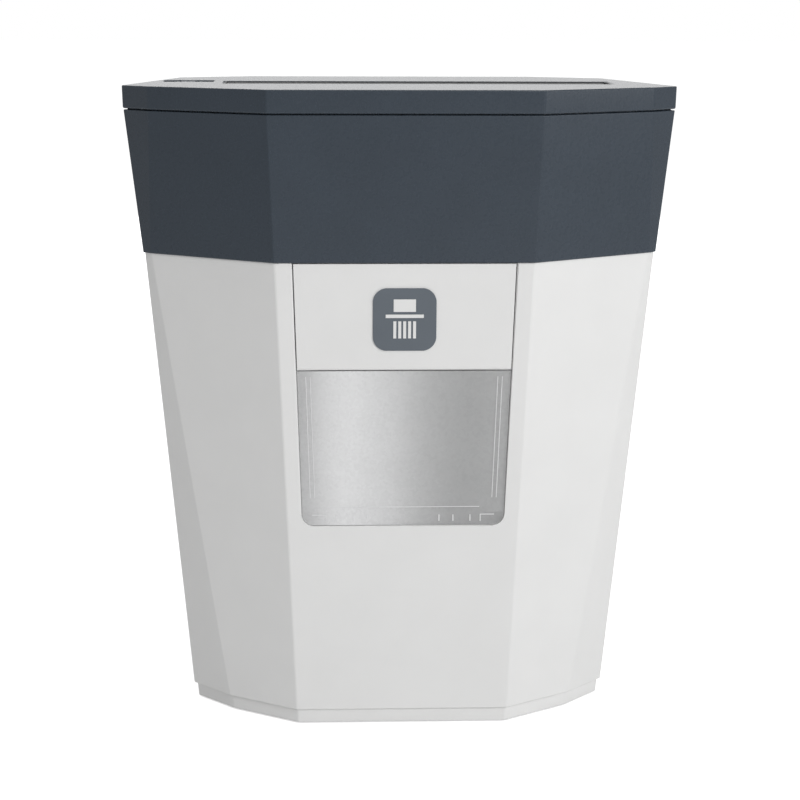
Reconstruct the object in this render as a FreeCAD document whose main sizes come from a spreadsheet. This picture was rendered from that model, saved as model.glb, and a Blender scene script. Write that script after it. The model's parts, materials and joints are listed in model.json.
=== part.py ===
"""Paper shredder: a faceted waste bin with a front window, and a lift-off cutting head.

The row frame has +Z up, +X to the right when the front is faced and the front towards -Y.  Its origin is the
middle of the footprint on the floor.  All lengths are millimetres and all angles are degrees.
"""
import FreeCAD, Part
import math
import os
import re
import Sketcher
from FreeCAD import Placement, Rotation, Vector

SIZES = (
    ("width", 360, "overall width, across the side corners of the top"),
    ("depth", 265, "overall depth of the top"),
    ("height", 414.5, "overall height from the floor"),
    ("head_height", 107, "height of the cutting head, cover included"),
    ("cover_height", 15.5, "height of the cover's band, seam included"),
    ("seam_gap", 0.8, "open seam between the cover and the head shell"),
    ("front_flat", 172, "width of the front flat at the top"),
    ("back_flat", 204.6, "width of the back flat at the top"),
    ("corner_flat", 27, "width of the narrow side corner flat at the top"),
    ("cheek_angle", 35, "turn of the cheek flat away from the front"),
    ("corner_angle", 48.8, "turn of the corner flat away from the front"),
    ("side_angle", 100, "turn of the side flat away from the front"),
    ("rear_angle", 147.4, "turn of the rear cheek flat away from the front"),
    ("cover_draft", 0.5, "how far the cover's flats lean in down its band"),
    ("seam_step", 0.4, "how far the head shell stands inside the cover at the seam"),
    ("head_lean_front", 2.6, "how far the front flat leans in down the head"),
    ("head_lean_cheek", 4.4, "how far the cheek flat leans in down the head"),
    ("head_lean_corner", 3.3, "how far the corner flat leans in down the head"),
    ("head_lean_side", 13, "how far the side flat leans in down the head"),
    ("head_lean_rear", 7.3, "how far the rear cheek flat leans in down the head"),
    ("head_lean_back", 6.1, "how far the back flat leans in down the head"),
    ("rim_step", 1, "how far the bin's rim stands inside the head's lower edge"),
    ("bin_lean_front", 17.8, "how far the front flat leans in down the bin"),
    ("bin_lean_cheek", 21.7, "how far the cheek flat leans in down the bin"),
    ("bin_lean_corner", 31.4, "how far the corner flat leans in down the bin"),
    ("bin_lean_side", 23.6, "how far the side flat leans in down the bin"),
    ("bin_lean_rear", 22.8, "how far the rear cheek flat leans in down the bin"),
    ("bin_lean_back", 17, "how far the back flat leans in down the bin"),
    ("bin_wall", 2.5, "bin wall"),
    ("bin_floor", 3, "bin floor"),
    ("head_wall", 3, "head shell wall"),
    ("head_floor", 3, "head shell floor"),
    ("cover_wall", 2.5, "cover wall"),
    ("lip_gap", 0.5, "clearance round the locating lips"),
    ("lip_wall", 1.8, "thickness of the locating lips"),
    ("lip_height", 4, "height of the locating lips"),
    ("base_height", 9.5, "height of the base tray"),
    ("base_inset", 2, "how far the base tray stands inside the bin"),
    ("foot_proud", 1, "how far the rubber feet stand below the base tray"),
    ("foot_radius", 9, "rubber foot radius"),
    ("foot_half_span", 82, "foot centres from the middle plane"),
    ("foot_setback", 58, "foot centres from the ends of the overall depth"),
    ("base_screw_half_span", 56, "base screws from the middle plane"),
    ("cutout_top", 141, "width of the front cutout at the rim"),
    ("cutout_bottom", 130, "width of the front cutout at its lower edge"),
    ("cutout_height", 171.5, "height of the front cutout along the wall"),
    ("cutout_corner", 8, "radius of the cutout's lower corners"),
    ("panel_height", 69.5, "height of the white front panel"),
    ("panel_gap", 0.6, "gap round the front panel"),
    ("panel_lip", 1.6, "reach of the front panel's rear lip over the window"),
    ("window_gap", 0.3, "gap round the window"),
    ("window_sink", 1, "how far the window face lies behind the front flat"),
    ("window_thick", 2, "window sheet thickness"),
    ("flange_reach", 7, "reach of the window's flange behind the bin wall"),
    ("flange_thick", 1.5, "window flange thickness"),
    ("border_side", 9, "width of the window's thick border at the sides"),
    ("border_low", 12, "width of the window's thick border at the bottom"),
    ("rib_width", 2, "width of the window's sill ribs"),
    ("rib_height", 4.5, "height of the window's sill ribs"),
    ("badge_size", 40, "side of the square badge"),
    ("badge_corner", 9, "corner radius of the badge"),
    ("badge_thick", 0.8, "badge thickness"),
    ("badge_drop", 36, "badge centre below the rim"),
    ("grip_width", 60, "width of the rear hand recess"),
    ("grip_height", 62, "height of the rear hand recess"),
    ("grip_depth", 20, "depth of the rear hand recess at its middle"),
    ("grip_drop", 104, "middle of the rear hand recess below the rim"),
    ("throat_x", 14, "middle of the paper throat from the middle plane"),
    ("throat_y", -6.5, "paper throat line, front to back"),
    ("throat_length", 232, "length of the paper slot"),
    ("slot_width", 6, "width of the paper slot"),
    ("slot_wall", 1.8, "wall of the paper guides"),
    ("recess_length", 262, "length of the feed recess in the cover"),
    ("notch_length", 11, "length of the notches at the ends of the paper slot"),
    ("notch_depth", 3, "depth of the notches at the ends of the paper slot"),
    ("recess_front", 19, "feed recess in front of the throat line"),
    ("recess_back", 33, "feed recess behind the throat line"),
    ("recess_depth", 2.5, "depth of the feed recess"),
    ("case_shank", 2, "radius of the screws that hold the base, and the frames' lugs"),
    ("case_cap", 4, "head radius of the base's screws"),
    ("case_cap_thick", 2.4, "head thickness of the base's and the lugs' screws"),
    ("frame_cap", 3.8, "head radius of the frames' bolts and lug screws"),
    ("bolt_radius", 2, "radius of the bolts that hold the frames to the tie rods"),
    ("bolt_cap_thick", 2.5, "head thickness of the frames' bolts"),
    ("bolt_depth", 10, "depth of the tie rods' tapped ends"),
    ("cover_shank", 1.7, "radius of the screws that hold the cover"),
    ("cover_cap", 3.6, "head radius of the cover's screws"),
    ("cover_cap_thick", 2.2, "head thickness of the cover's screws"),
    ("board_shank", 1.2, "radius of the control board's screws"),
    ("board_cap", 2.8, "head radius of the control board's screws"),
    ("board_cap_thick", 1.6, "head thickness of the control board's screws"),
    ("insert_gap", 0.3, "gap round the throat insert and the control bezel"),
    ("disc_pitch", 8, "pitch of the cutting discs"),
    ("disc_thick", 3.7, "cutting disc thickness"),
    ("disc_reach", 2, "how far the cutting discs reach past the line midway between the axes"),
    ("notch_radius", 2, "radius of the discs' cross-cut notches"),
    ("hub_clear", 0.5, "clearance between one roll's discs and the other roll's hub"),
    ("journal_radius", 6, "cutter journal radius"),
    ("cutter_rise", 46, "cutter axes above the split"),
    ("end_room", 2, "side frames beyond the ends of the paper slot"),
    ("outlet_margin", 6, "floor between the side frames and the paper outlet"),
    ("outlet_half_width", 32, "half width of the paper outlet, front to back"),
    ("running_gap", 0.06, "radial running clearance of shafts"),
    ("frame_thick", 4, "side frame thickness"),
    ("frame_margin", 7, "side frame round the tie rod axes"),
    ("bush_wall", 2.5, "cutter bush wall"),
    ("bush_flange", 1.2, "cutter bush flange thickness"),
    ("rod_radius", 4, "tie rod radius"),
    ("rod_gap", 2.8, "clearance between the tie rods and the combs"),
    ("rod_spread", 27.5, "tie rods above and below the cutter axes"),
    ("comb_gap", 0.7, "clearance of the stripper combs"),
    ("comb_spine", 4, "thickness of the comb spines"),
    ("comb_half_height", 16, "half height of the combs"),
    ("finger_thick", 3.2, "thickness of the comb fingers"),
    ("gear_width", 7, "face width of the slow gears"),
    ("thin_gear_width", 5, "face width of the fast gears"),
    ("gear_space", 1.5, "axial space between gear planes"),
    ("module_slow", 1.5, "tooth module of the slow gears"),
    ("module_middle", 1.25, "tooth module of the middle pair"),
    ("module_fast", 1, "tooth module of the motor pair"),
    ("sync_teeth", 18, "teeth of the two cutter gears"),
    ("output_teeth", 36, "teeth of the output gear"),
    ("second_pinion_teeth", 12, "teeth of the second gear's pinion"),
    ("second_teeth", 36, "teeth of the second gear"),
    ("first_pinion_teeth", 11, "teeth of the first gear's pinion"),
    ("first_teeth", 44, "teeth of the first gear"),
    ("motor_teeth", 10, "teeth of the motor pinion"),
    ("backlash", 0.16, "play between meshed teeth"),
    ("second_direction", 20, "direction from the output gear to the second gear"),
    ("first_direction", -77, "direction from the second gear to the first gear"),
    ("motor_direction", 22, "direction from the first gear to the motor"),
    ("pin_radius", 2.5, "gear pin radius"),
    ("box_wall", 2, "gear case wall"),
    ("box_gap", 1, "clearance between the gear case and what turns in it"),
    ("motor_radius", 26, "motor can radius"),
    ("motor_length", 76, "motor can length"),
    ("motor_wall", 2, "motor can wall"),
    ("magnet_thick", 5, "motor magnet thickness"),
    ("air_gap", 1, "gap between the rotor and the magnets"),
    ("motor_shaft", 2.5, "motor shaft radius"),
    ("end_cap", 6, "motor end cap thickness"),
    ("fan_radius", 21, "cooling fan radius"),
    ("fan_width", 7, "cooling fan width"),
    ("fan_blades", 9, "number of fan blades"),
    ("board_length", 120, "control board length"),
    ("board_width", 52, "control board width"),
    ("board_thick", 1.6, "control board thickness"),
    ("board_setback", 22, "control board from the front of the overall depth"),
    ("board_rise", 6, "height of the board's posts"),
    ("post_radius", 3.5, "radius of the board's posts"),
    ("boss_radius", 4.5, "radius of the cover's screw bosses"),
    ("boss_inset", 14, "boss axes in from the flats of the head's lower edge"),
    ("bezel_in", 3.9, "control bezel in from the left side flat"),
    ("bezel_y", 24, "control bezel middle, front to back"),
    ("bezel_length", 34, "control bezel length"),
    ("bezel_width", 33, "control bezel width"),
    ("bezel_lip", 1, "reach of the bezel's lip under the cover"),
    ("bezel_thick", 2, "control bezel thickness"),
    ("knob_travel", 6, "switch travel either side of off"),
    ("knob_length", 9, "switch knob length"),
    ("knob_width", 8, "switch knob width"),
    ("knob_height", 1.2, "switch knob height over the bezel"),
    ("stem_width", 3, "switch stem width"),
    ("stem_gap", 0.3, "clearance of the switch stem in its slot"),
    ("lens_radius", 1.6, "indicator lens radius"),
    ("lever_x", 14, "paper sensor lever from the middle plane"),
    ("lever_width", 5, "paper sensor lever width"),
    ("lever_rise", 84, "sensor pin above the split"),
    ("lever_setback", 9, "sensor pin behind the throat line"),
    ("lever_pin", 1.5, "sensor pin radius"),
    ("plunger_x", -24, "safety plunger from the middle plane"),
    ("plunger_setback", 16.5, "safety plunger from the back of the overall depth"),
    ("plunger_radius", 3, "safety plunger radius"),
    ("plunger_drop", 4.7, "plunger tip below the split"),
    ("plunger_travel", 3, "plunger travel"),
    ("tab_gap", 0.3, "gap between the plunger and the bin's tab"),
    ("gland_x", 60, "cord gland from the middle plane"),
    ("gland_rise", 24, "cord gland above the split"),
    ("gland_radius", 8, "cord gland radius"),
    ("gland_bore", 3.6, "bore of the cord gland"),
    ("gland_length", 16, "cord gland length"),
)
NAMES = frozenset(name for name, value, note in SIZES)
HALVES = ("", "-")
SPLIT = "(height - head_height)"
SEAM = "(height - cover_height)"
BASE_TOP = "(foot_proud + base_height)"
DECK = f"({SPLIT} + head_floor)"
CUTTER_Z = f"({SPLIT} + cutter_rise)"
CUTTER_GAP = "(module_slow * sync_teeth)"
FRONT_AXIS = f"(throat_y - {CUTTER_GAP} / 2)"
REAR_AXIS = f"(throat_y + {CUTTER_GAP} / 2)"
DISC_RADIUS = f"({CUTTER_GAP} / 2 + disc_reach)"
HUB_RADIUS = f"({CUTTER_GAP} - {DISC_RADIUS} - hub_clear)"
ROD_OFFSET = f"({DISC_RADIUS} + comb_gap + comb_spine + rod_gap + rod_radius)"
FRONT_ROD = f"({FRONT_AXIS} - {ROD_OFFSET})"
REAR_ROD = f"({REAR_AXIS} + {ROD_OFFSET})"
BUSH = "(journal_radius + running_gap + bush_wall)"
BUSH_RIM = f"({BUSH} + 1.5)"
DISCS = "floor((throat_length - disc_pitch) / disc_pitch)"
HALF_SPAN = "(throat_length / 2 + end_room)"
LEFT_FACE = f"(throat_x - {HALF_SPAN})"
RIGHT_FACE = f"(throat_x + {HALF_SPAN})"
GEAR_SIDE = f"({LEFT_FACE} - frame_thick)"
FIRST_DISC = f"(throat_x - {DISCS} * disc_pitch / 2)"
TURNS = {"X": Rotation(Vector(0, 1, 0), 90), "Y": Rotation(Vector(1, 0, 0), -90), "Z": Rotation()}
PLANES = {"X": "YZ_Plane", "Y": "XZ_Plane", "Z": "XY_Plane"}
FLATS = (
    ("front", "0"),
    ("cheek", "cheek_angle"),
    ("corner", "corner_angle"),
    ("side", "side_angle"),
    ("rear", "rear_angle"),
    ("back", "180"),
)

doc = FreeCAD.newDocument("PaperShredder")
sheet = doc.addObject("Spreadsheet::Sheet", "Sizes")
for row, (name, value, note) in enumerate(SIZES, start=1):
    sheet.set(f"A{row}", note)
    sheet.set(f"B{row}", str(value))
    sheet.setAlias(f"B{row}", name)
doc.recompute()
nodes = []


# ---------------------------------------------------------------- expressions and basic solids

def sized(text):
    """Return an expression in which every named size points at its cell."""
    return re.sub(r"[a-z]\w*", lambda word: linked(word.group(0)), str(text))


def linked(word):
    """Return a word as a cell reference when it is a named size, and unchanged when it isn't."""
    return f"Sizes.{word}" if word in NAMES else word


def number(text):
    """Return the value of an expression of named sizes."""
    return float(sheet.evalExpression(sized(text)))


def bind(thing, **expressions):
    """Bind properties of an object to expressions of named sizes."""
    for name, text in expressions.items():
        thing.setExpression(name, sized(text))
    return thing


def place(thing, x="0", y="0", z="0", turn=None):
    """Bind an object's position, after giving it a fixed turn."""
    if turn:
        thing.Placement = Placement(Vector(), turn)
    for axis, text in zip("xyz", (x, y, z)):
        thing.setExpression(f".Placement.Base.{axis}", sized(text))
    return thing


def box(x, y, z):
    """Return a block between its (low, high) pairs."""
    block = doc.addObject("Part::Box", "block")
    for side, (low, high) in zip(("Length", "Width", "Height"), (x, y, z)):
        bind(block, **{side: f"({high}) - ({low})"})
    return place(block, x[0], y[0], z[0])


def rod(axis, low, high, radius, first, second):
    """Return a cylinder along an axis; first and second are its other two coordinates, in order."""
    bar = bind(doc.addObject("Part::Cylinder", "rod"), Radius=radius, Height=f"({high}) - ({low})")
    middle = {"X": (low, first, second), "Y": (first, low, second), "Z": (first, second, low)}[axis]
    return place(bar, *middle, turn=TURNS[axis])


def ring(axis, low, high, outer, inner, first, second):
    """Return a tube along an axis."""
    reach = 1
    hole = rod(axis, f"{low} - {reach}", f"{high} + {reach}", inner, first, second)
    return cut(rod(axis, low, high, outer, first, second), hole)


def fuse(*things):
    """Return the union of solids that touch."""
    union = doc.addObject("Part::MultiFuse", "union")
    union.Shapes = list(things)
    return union


def group(things):
    """Return one object that holds several separate solids."""
    bundle = doc.addObject("Part::Compound", "group")
    bundle.Links = list(things)
    return bundle


def cut(base, *tools):
    """Return a solid with tools taken away."""
    result = doc.addObject("Part::Cut", "cut")
    result.Base = base
    result.Tool = tools[0] if len(tools) == 1 else group(tools)
    return result


def common(first, second):
    """Return what two solids share."""
    result = doc.addObject("Part::Common", "common")
    result.Base = first
    result.Tool = second
    return result


def node(label, thing):
    """Name a finished sub-part, which is written to its own file."""
    thing.Label = label
    nodes.append(thing)
    return thing


def code_shape(label, shape):
    """Return an object whose shape is set by code, for gears and staggered blades."""
    feature = doc.addObject("Part::Feature", label)
    feature.Shape = shape
    return feature


# ---------------------------------------------------------------- sketched solids

def new_body(name="body"):
    """Return an empty body."""
    return doc.addObject("PartDesign::Body", name)


def polygon(body, axis, points, level):
    """Return a closed sketch of straight lines on a plane across an axis, at a level along it."""
    sketch = body.newObject("Sketcher::SketchObject", "outline")
    plane = next(item for item in body.Origin.OriginFeatures if item.Role == PLANES[axis])
    sketch.AttachmentSupport = [(plane, "")]
    sketch.MapMode = "FlatFace"
    sign = "-" if axis == "Y" else ""
    sketch.setExpression(".AttachmentOffset.Base.z", sized(f"{sign}({level})"))
    corners = [Vector(number(first), number(second), 0) for first, second in points]
    for index, corner in enumerate(corners):
        sketch.addGeometry(Part.LineSegment(corner, corners[(index + 1) % len(corners)]), False)
    for index in range(len(corners)):
        sketch.addConstraint(Sketcher.Constraint("Coincident", index, 2, (index + 1) % len(corners), 1))
    for index, (point, corner) in enumerate(zip(points, corners)):
        for kind, text, value in zip(("DistanceX", "DistanceY"), point, corner):
            made = sketch.addConstraint(Sketcher.Constraint(kind, -1, 1, index, 1, value))
            sketch.setExpression(f"Constraints[{made}]", sized(text))
    return sketch


def prism(axis, points, low, high):
    """Return a body that runs straight along an axis; points are its other two coordinates, in order."""
    body = new_body()
    level = high if axis == "Y" else low
    sketch = polygon(body, axis, points, level)
    pad = body.newObject("PartDesign::Pad", "pad")
    pad.Profile = sketch
    bind(pad, Length=f"({high}) - ({low})")
    return body


def round_edges(body, radius, chosen):
    """Round the body's edges that a test picks."""
    doc.recompute()
    tip = body.Tip
    picked = [f"Edge{index}" for index, edge in enumerate(tip.Shape.Edges, start=1) if chosen(edge)]
    fillet = body.newObject("PartDesign::Fillet", "rounding")
    fillet.Base = (tip, picked)
    bind(fillet, Radius=radius)
    return body


def rise(edge):
    """Return how far an edge climbs."""
    return abs(edge.Vertexes[0].Z - edge.Vertexes[-1].Z)


# ---------------------------------------------------------------- the faceted outline

def top_distance(flat):
    """Return a flat's distance from the middle axis at the top of the cover."""
    bend_x = "(width / 2 - corner_flat * cos(corner_angle))"
    bend_y = f"(-depth / 2 + ({bend_x} - front_flat / 2) * tan(cheek_angle))"
    tip_y = f"({bend_y} + corner_flat * sin(corner_angle))"
    return {
        "front": "depth / 2",
        "cheek": "(sin(cheek_angle) * front_flat / 2 + cos(cheek_angle) * depth / 2)",
        "corner": f"(sin(corner_angle) * {bend_x} - cos(corner_angle) * {bend_y})",
        "side": f"(sin(side_angle) * width / 2 - cos(side_angle) * {tip_y})",
        "rear": "(sin(rear_angle) * back_flat / 2 - cos(rear_angle) * depth / 2)",
        "back": "depth / 2",
    }[flat]


def distance(flat, part, level, inset="0"):
    """Return a flat's distance from the middle axis on the cover, the head or the bin, at a level."""
    top = top_distance(flat)
    if part == "cover":
        return f"({top} - cover_draft * (height - ({level})) / cover_height - ({inset}))"
    seam = f"{top} - cover_draft - seam_step"
    if part == "head":
        lean = f"head_lean_{flat} * ({SEAM} - ({level})) / ({SEAM} - {SPLIT})"
        return f"({seam} - {lean} - ({inset}))"
    lean = f"bin_lean_{flat} * ({SPLIT} - ({level})) / ({SPLIT} - {BASE_TOP})"
    return f"({seam} - head_lean_{flat} - rim_step - {lean} - ({inset}))"


def bezel_middle():
    """Return the control bezel's middle from the middle plane, kept inside the left side flat."""
    flat = top_distance("side")
    rear_corner = "(bezel_y + bezel_width / 2)"
    edge = f"({flat} + cos(side_angle) * {rear_corner}) / sin(side_angle)"
    return f"(bezel_in + bezel_length / 2 - {edge})"


def outline(part, level, inset="0"):
    """Return the ten corners of the faceted plan at a level, moved in by an inset."""
    right = []
    for (one, angle), (other, next_angle) in zip(FLATS, FLATS[1:]):
        near = distance(one, part, level, inset)
        far = distance(other, part, level, inset)
        spread = f"sin({next_angle} - {angle})"
        x = f"((cos({angle}) * {far} - cos({next_angle}) * {near}) / {spread})"
        y = f"((sin({angle}) * {far} - sin({next_angle}) * {near}) / {spread})"
        right.append((x, y))
    left = [(f"-{x}", y) for x, y in reversed(right)]
    return right + left


def tapered(part, low, high, inset="0"):
    """Return a solid with the leaning flats of the cover, the head or the bin, between two levels."""
    body = new_body()
    sections = [polygon(body, "Z", outline(part, level, inset), level) for level in (low, high)]
    loft = body.newObject("PartDesign::AdditiveLoft", "loft")
    loft.Profile = sections[0]
    loft.Sections = [sections[1]]
    loft.Ruled = True
    return body


def tapered_ring(part, low, high, outer, thickness):
    """Return a thin upright wall that follows the flats, an inset in from the outside."""
    inner = tapered(part, f"{low} - 1", f"{high} + 1", f"{outer} + {thickness}")
    return cut(tapered(part, low, high, outer), inner)


BEZEL_X = bezel_middle()


# ---------------------------------------------------------------- fasteners

def screw(x, y, seat, tip, shank, head, thick):
    """Return an upright screw from its seat level to its tip, with the head on the seat's far side."""
    points_up = number(tip) > number(seat)
    low, high = (seat, tip) if points_up else (tip, seat)
    cap = (f"{seat} - {thick}", seat) if points_up else (seat, f"{seat} + {thick}")
    return fuse(rod("Z", low, high, shank, x, y), rod("Z", *cap, head, x, y))


def four(x, front_y, back_x=None, back_y=None):
    """Return four points mirrored left and right."""
    pairs = ((x, front_y), (back_x or x, back_y))
    return [(f"{sign}({across})", along) for across, along in pairs for sign in HALVES]


FEET = four("foot_half_span", "-(depth / 2 - foot_setback)", None, "depth / 2 - foot_setback")
BASE_SCREWS = four("base_screw_half_span", "-(depth / 2 - foot_setback)", None, "depth / 2 - foot_setback")
BOSSES = [outline("head", SPLIT, "boss_inset")[corner] for corner in (1, 3, 6, 8)]


# ---------------------------------------------------------------- bin

def lean_on_front(thing):
    """Stand an object drawn on an upright wall against the bin's leaning front flat."""
    thing.Placement = Placement(Vector(), Rotation(Vector(1, 0, 0), 1))
    bind(thing, **{".Placement.Rotation.Angle": f"atan(bin_lean_front / ({SPLIT} - {BASE_TOP}))"})
    return place(thing, "0", f"-{distance('front', 'bin', SPLIT)}", SPLIT)


def front_plate(top, bottom, gap, near, far):
    """Return a plate that fits the front cutout with a gap; levels run down from the rim."""
    def half_width(level):
        return f"(cutout_top / 2 + (cutout_top - cutout_bottom) / 2 * ({level}) / cutout_height - ({gap}))"
    points = [
        (f"-{half_width(bottom)}", bottom),
        (half_width(bottom), bottom),
        (half_width(top), top),
        (f"-{half_width(top)}", top),
    ]
    return prism("Y", points, near, far)


def round_low_corners(body, radius):
    """Round the two lower corners of a plate in the front cutout."""
    doc.recompute()
    low = body.Shape.BoundBox.ZMin
    return round_edges(body, radius, lambda edge: abs(edge.CenterOfMass.z - low) < 1e-3 and rise(edge) < 1e-6
                       and abs(edge.Vertexes[0].X - edge.Vertexes[-1].X) < 1e-6)


def bin_body():
    """Build the white bin with its front cutout, rear hand recess and safety tab."""
    outside = tapered("bin", BASE_TOP, SPLIT)
    inside = tapered("bin", f"{BASE_TOP} + bin_floor", f"{SPLIT} + 1", "bin_wall")
    grip_z = f"({SPLIT} - grip_drop)"
    bottom_y = distance("back", "bin", grip_z, "grip_depth")
    span = ("-grip_width / 2", "grip_width / 2")
    tall = (f"{grip_z} - grip_height / 2", f"{grip_z} + grip_height / 2")
    pocket = box(span, (bottom_y, "depth / 2"), tall)
    shell = box(
        (f"{span[0]} - bin_wall", f"{span[1]} + bin_wall"),
        (f"{bottom_y} - bin_wall", "depth / 2"),
        (f"{tall[0]} - bin_wall", f"{tall[1]} + bin_wall"),
    )
    full = tapered("bin", BASE_TOP, SPLIT)
    tab_top = f"({SPLIT} - plunger_drop - tab_gap)"
    tab = box(
        ("plunger_x - 2 * plunger_radius", "plunger_x + 2 * plunger_radius"),
        ("depth / 2 - plunger_setback - 2 * plunger_radius", "depth / 2"),
        (f"{tab_top} - 14", tab_top),
    )
    tub = fuse(cut(outside, inside), common(shell, full), common(tab, full))
    opening = front_plate("1", "-cutout_height", "0", "-5", "bin_wall + 5")
    opening = lean_on_front(round_low_corners(opening, "cutout_corner"))
    holes = [rod("Z", f"{BASE_TOP} - 1", f"{BASE_TOP} + 2", "case_shank", x, y) for x, y in BASE_SCREWS]
    node("bin_body", cut(tub, pocket, opening, *holes))


def base_tray():
    """Build the base tray, its feet and its screws."""
    outside = tapered("bin", "foot_proud", BASE_TOP, "base_inset")
    ceiling = f"({BASE_TOP} - bin_wall)"
    hollow = tapered("bin", "foot_proud - 1", ceiling, "base_inset + bin_wall")
    holes = [rod("Z", f"{ceiling} - 1", f"{BASE_TOP} + 1", "case_shank", x, y) for x, y in BASE_SCREWS]
    node("base_tray", cut(outside, hollow, *holes))
    node("rubber_feet", group(rod("Z", "0", ceiling, "foot_radius", x, y) for x, y in FEET))
    node("base_screws", group(screw(x, y, ceiling, f"{BASE_TOP} + 2", "case_shank", "case_cap", "case_cap_thick")
                              for x, y in BASE_SCREWS))


def window_panel():
    """Build the clear window with its rear flange, sill ribs and corner clips."""
    seam = "-panel_height"
    pane = front_plate(seam, "-cutout_height + window_gap", "window_gap", "window_sink", "bin_wall")
    pane = round_low_corners(pane, "cutout_corner - window_gap")
    back = ("bin_wall", "bin_wall + flange_thick")
    flange = front_plate(f"{seam} + 6", "-cutout_height - flange_reach", "-flange_reach", *back)
    flange = round_low_corners(flange, "cutout_corner + flange_reach")
    thin = front_plate(f"{seam} + 2", "-cutout_height + border_low", "border_side",
                       "bin_wall", f"{back[1]} + 1")
    flange = cut(flange, round_low_corners(thin, "cutout_corner"))
    near, far = back[1], f"{back[1]} + 2"
    sill = "(-cutout_height + 2)"
    ribs = [box((f"{side}({x}) - rib_width / 2", f"{side}({x}) + rib_width / 2"), (near, far),
                (sill, f"{sill} + rib_height")) for x in ("23", "32", "43") for side in HALVES]
    clips = [box((f"{side}(cutout_bottom / 2 - 6) - 5", f"{side}(cutout_bottom / 2 - 6) + 5"),
                 (near, f"{near} + 4"), ("-cutout_height - 1", "-cutout_height + 8")) for side in HALVES]
    node("window_panel", lean_on_front(fuse(pane, flange, *ribs, *clips)))


def front_panel():
    """Build the white panel above the window, and the badge on it."""
    face = front_plate("-panel_gap", "-panel_height + panel_gap", "panel_gap", "0", "bin_wall")
    doc.recompute()
    low = face.Shape.BoundBox.ZMin
    face = round_edges(face, "panel_lip", lambda edge: abs(edge.CenterOfMass.z - low) < 1e-3
                       and abs(edge.CenterOfMass.y) < 1e-3)
    node("front_panel", lean_on_front(face))
    reach = "badge_size / 2"
    points = [(f"-{reach}", f"-badge_drop - {reach}"), (reach, f"-badge_drop - {reach}"),
              (reach, f"-badge_drop + {reach}"), (f"-{reach}", f"-badge_drop + {reach}")]
    plate = prism("Y", points, "-badge_thick", "0")
    plate = round_edges(plate, "badge_corner", lambda edge: abs(edge.Vertexes[0].Y - edge.Vertexes[-1].Y) > 1e-3)
    node("front_badge", lean_on_front(plate))


# ---------------------------------------------------------------- head housing

def head_shell():
    """Build the head's lower shell with its floor, posts and locating lips."""
    outside = tapered("head", SPLIT, SEAM)
    inside = tapered("head", DECK, f"{SEAM} + 1", "head_wall")
    bin_lip = tapered_ring("bin", f"{SPLIT} - lip_height", f"{SPLIT} + 1", "bin_wall + lip_gap", "lip_wall")
    anchor = tapered_ring("head", f"{SEAM} - 3", f"{SEAM} - 0.5", "head_wall - 0.5", "lip_wall")
    cover_lip = tapered_ring("cover", f"{SEAM} - 3", f"{SEAM} + lip_height", "cover_wall + lip_gap", "lip_wall")
    posts = [rod("Z", SPLIT, f"{DECK} + board_rise", "post_radius", x, y) for x, y in board_corners()]
    shell = fuse(cut(outside, inside), bin_lip, anchor, cover_lip, *posts)
    outlet = box(
        (f"{LEFT_FACE} + outlet_margin", f"{RIGHT_FACE} - outlet_margin"),
        ("throat_y - outlet_half_width", "throat_y + outlet_half_width"),
        (f"{SPLIT} - 1", f"{DECK} + 1"),
    )
    screw_holes = [rod("Z", f"{SPLIT} - 1", f"{DECK} + 1", "cover_shank", x, y) for x, y in BOSSES]
    lug_holes = [rod("Z", f"{SPLIT} - 1", f"{DECK} + 1", "case_shank", x, y) for x, y in lug_points()]
    post_holes = [rod("Z", DECK, f"{DECK} + board_rise + 1", "board_shank", x, y) for x, y in board_corners()]
    plunger = rod("Z", f"{SPLIT} - 1", f"{DECK} + 1", "plunger_radius + lip_gap", *plunger_point())
    back = distance("back", "head", f"{SPLIT} + gland_rise")
    gland = rod("Y", f"{back} - gland_length", f"{back} + 5", "gland_radius", "gland_x", f"{SPLIT} + gland_rise")
    node("head_shell", cut(shell, outlet, plunger, gland, *screw_holes, *lug_holes, *post_holes))


def top_cover():
    """Build the cover with the feed recess, the control opening and the screw bosses."""
    low = f"({SEAM} + seam_gap)"
    outside = tapered("cover", low, "height")
    inside = tapered("cover", f"{low} - 1", "height - cover_wall", "cover_wall")
    recess = box(
        ("throat_x - recess_length / 2", "throat_x + recess_length / 2"),
        ("throat_y - recess_front", "throat_y + recess_back"),
        ("height - cover_wall - 3", "height + 1"),
    )
    control = box(
        (f"{BEZEL_X} - bezel_length / 2", f"{BEZEL_X} + bezel_length / 2"),
        ("bezel_y - bezel_width / 2", "bezel_y + bezel_width / 2"),
        ("height - cover_wall - 3", "height + 1"),
    )
    bosses = [rod("Z", DECK, "height - cover_wall + 0.5", "boss_radius", x, y) for x, y in BOSSES]
    pilots = [rod("Z", f"{DECK} - 1", f"{DECK} + 16", "cover_shank", x, y) for x, y in BOSSES]
    node("top_cover", cut(fuse(cut(outside, inside, recess, control), *bosses), *pilots))
    screws = [screw(x, y, SPLIT, f"{DECK} + 15", "cover_shank", "cover_cap", "cover_cap_thick")
              for x, y in BOSSES]
    node("cover_screws", group(screws))


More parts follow.
